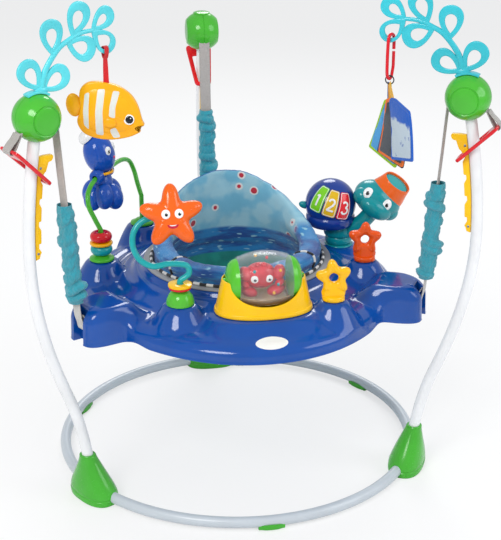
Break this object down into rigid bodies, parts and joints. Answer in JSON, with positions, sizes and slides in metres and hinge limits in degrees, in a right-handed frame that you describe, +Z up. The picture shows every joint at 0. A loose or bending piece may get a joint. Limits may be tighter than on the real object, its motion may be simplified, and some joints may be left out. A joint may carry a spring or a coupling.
{
  "type": "baby activity jumper",
  "caption": "Baby activity jumper: floor ring, three bowed posts and a toy tray with a turning seat hung on webbing and sleeved springs.",
  "frame": {"origin": "on the floor under the middle of the outline", "axes": "+Z up, the seated child faces -Y"},
  "size_m": [0.9258, 0.9048, 0.9823],
  "materials": {
    "green_plastic": "glossy",
    "pale_blue_enamel": "satin",
    "white_enamel": "satin",
    "yellow_plastic": "glossy",
    "red_plastic": "glossy",
    "grey_webbing": "woven",
    "spring_steel": "bare",
    "teal_cloth": "gathered",
    "tray_blue": "glossy",
    "grey_plastic": "matte",
    "seat_cloth": "padded",
    "teal_plastic": "glossy",
    "cyan_plastic": "glossy",
    "orange_plastic": "glossy",
    "navy_plastic": "glossy",
    "clear_plastic": "clear",
    "crab_red_plastic": "glossy",
    "fish_yellow_plastic": "satin",
    "card_cloth": "printed"
  },
  "bodies": {
    "frame": {"foot_left": "green_plastic", "foot_right": "green_plastic", "foot_back": "green_plastic", "post_left": "white_enamel", "post_right": "white_enamel", "post_back": "white_enamel", "hub_left": "green_plastic", "hub_right": "green_plastic", "hub_back": "green_plastic", "height_rack_left": "yellow_plastic", "height_rack_right": "yellow_plastic", "height_rack_back": "yellow_plastic", "ring_tube_front": "pale_blue_enamel", "ring_tube_back_left": "pale_blue_enamel", "ring_tube_back_right": "pale_blue_enamel", "grip_pad_front": "green_plastic", "grip_pad_back_left": "green_plastic", "grip_pad_back_right": "green_plastic", "seaweed_left": "cyan_plastic", "seaweed_right": "cyan_plastic"},
    "hangers": {"strap_left": "grey_webbing", "strap_right": "grey_webbing", "strap_back": "grey_webbing", "spring_left": "spring_steel", "spring_right": "spring_steel", "spring_back": "spring_steel", "sleeve_left": "teal_cloth", "sleeve_right": "teal_cloth", "sleeve_back": "teal_cloth"},
    "tray": {"tray": "tray_blue", "strap_anchor_left": "grey_webbing", "strap_anchor_right": "grey_webbing", "strap_anchor_back": "grey_webbing", "arch_tube": "green_plastic", "roller_cradle": "yellow_plastic", "turtle_body": "teal_plastic", "turtle_shell": "navy_plastic", "star_loop_yellow": "yellow_plastic", "star_loop_orange": "orange_plastic"},
    "seat": {"seat_ring": "grey_plastic", "seat": "seat_cloth"},
    "roller": {"roller_drum": "clear_plastic", "roller_caps": "green_plastic", "crab": "crab_red_plastic"},
    "octopus": {"octopus": "navy_plastic"},
    "stalk": {"star_stalk": "teal_plastic"},
    "stalk_disc": {"stalk_disc": "yellow_plastic"},
    "star": {"star_rattle": "orange_plastic"},
    "fish": {"toy_fish": "fish_yellow_plastic"},
    "link": {"toy_link": "red_plastic"},
    "cards": {"toy_cards": "card_cloth"},
    "bead_teal": {"bead_teal": "teal_plastic"},
    "bead_yellow": {"bead_yellow": "yellow_plastic"},
    "bead_red": {"bead_red": "red_plastic"},
    "key_1": {"key_1": "green_plastic"},
    "key_2": {"key_2": "yellow_plastic"},
    "key_3": {"key_3": "red_plastic"},
    "latch_left": {"latch_ring_left": "red_plastic"},
    "latch_right": {"latch_ring_right": "red_plastic"},
    "latch_back": {"latch_ring_back": "red_plastic"}
  },
  "joints": [
    {"name": "height_adjust", "type": "slide", "parent": "frame", "child": "hangers", "axis": [0, 0, 1], "range_m": [0, 0.126], "deforming": ["strap_left", "strap_right", "strap_back"]},
    {"name": "latch_slide_left", "type": "slide", "parent": "frame", "child": "latch_left", "axis": [-0.0782, -0.0452, -0.9959], "range_m": [0, 0.126]},
    {"name": "latch_slide_right", "type": "slide", "parent": "frame", "child": "latch_right", "axis": [0.0782, -0.0452, -0.9959], "range_m": [0, 0.126]},
    {"name": "latch_slide_back", "type": "slide", "parent": "frame", "child": "latch_back", "axis": [0, 0.0903, -0.9959], "range_m": [0, 0.126]},
    {"name": "tray_bounce", "type": "slide", "parent": "hangers", "child": "tray", "axis": [0, 0, 1], "range_m": [-0.05, 0.03], "stiffness_N_per_m": 1500, "springref_m": 0.028, "deforming": ["spring_left", "spring_right", "spring_back", "sleeve_left", "sleeve_right", "sleeve_back"]},
    {"name": "seat_spin", "type": "hinge", "parent": "tray", "child": "seat", "pos_m": [0, -0.06942, 0.416], "axis": [0, 0, 1], "continuous": true},
    {"name": "roller_spin", "type": "hinge", "parent": "tray", "child": "roller", "pos_m": [0.008, -0.31242, 0.4655], "axis": [1, 0, 0], "continuous": true},
    {"name": "key_1_press", "type": "slide", "parent": "tray", "child": "key_1", "axis": [0.6783, 0.5897, -0.4384], "range_m": [0, 0.0025], "stiffness_N_per_m": 900, "springref_m": -0.0006},
    {"name": "key_2_press", "type": "slide", "parent": "tray", "child": "key_2", "axis": [0.2326, 0.8682, -0.4384], "range_m": [0, 0.0025], "stiffness_N_per_m": 900, "springref_m": -0.0006},
    {"name": "key_3_press", "type": "slide", "parent": "tray", "child": "key_3", "axis": [-0.2926, 0.8498, -0.4384], "range_m": [0, 0.0025], "stiffness_N_per_m": 900, "springref_m": -0.0006},
    {"name": "octopus_rock", "type": "hinge", "parent": "tray", "child": "octopus", "pos_m": [-0.26225, 0.04768, 0.5758], "axis": [0.4559, 0.89, 0], "range_deg": [-30, 30]},
    {"name": "bead_teal_spin", "type": "hinge", "parent": "tray", "child": "bead_teal", "pos_m": [-0.275, -0.03442, 0.4306], "axis": [0, 0, 1], "continuous": true},
    {"name": "bead_yellow_spin", "type": "hinge", "parent": "tray", "child": "bead_yellow", "pos_m": [-0.275, -0.03442, 0.4509], "axis": [0, 0, 1], "continuous": true},
    {"name": "bead_red_spin", "type": "hinge", "parent": "tray", "child": "bead_red", "pos_m": [-0.275, -0.03442, 0.4582], "axis": [0, 0, 1], "continuous": true},
    {"name": "stalk_swivel", "type": "hinge", "parent": "tray", "child": "stalk", "pos_m": [-0.148, -0.29242, 0.418], "axis": [0, 0, 1], "range_deg": [-25, 25]},
    {"name": "disc_spin", "type": "hinge", "parent": "tray", "child": "stalk_disc", "pos_m": [-0.148, -0.29242, 0.4486], "axis": [0, 0, 1], "continuous": true},
    {"name": "star_turn", "type": "hinge", "parent": "stalk", "child": "star", "pos_m": [-0.161, -0.29242, 0.593], "axis": [0, -0.9455, 0.3256], "continuous": true},
    {"name": "fish_swing", "type": "hinge", "parent": "frame", "child": "fish", "pos_m": [-0.26797, -0.22413, 0.89358], "axis": [-0.866, -0.5, 0], "range_deg": [-10, 10]},
    {"name": "link_swing", "type": "hinge", "parent": "frame", "child": "link", "pos_m": [0.26797, -0.22413, 0.89358], "axis": [0.866, -0.5, 0], "range_deg": [-20, 20]},
    {"name": "cards_swing", "type": "hinge", "parent": "link", "child": "cards", "pos_m": [0.26797, -0.22413, 0.81603], "axis": [0.5, 0.866, 0], "range_deg": [-20, 20]}
  ],
  "couplings": [
    {"joint": "latch_slide_left", "follows": "height_adjust", "ratio": 1},
    {"joint": "latch_slide_right", "follows": "height_adjust", "ratio": 1},
    {"joint": "latch_slide_back", "follows": "height_adjust", "ratio": 1}
  ]
}
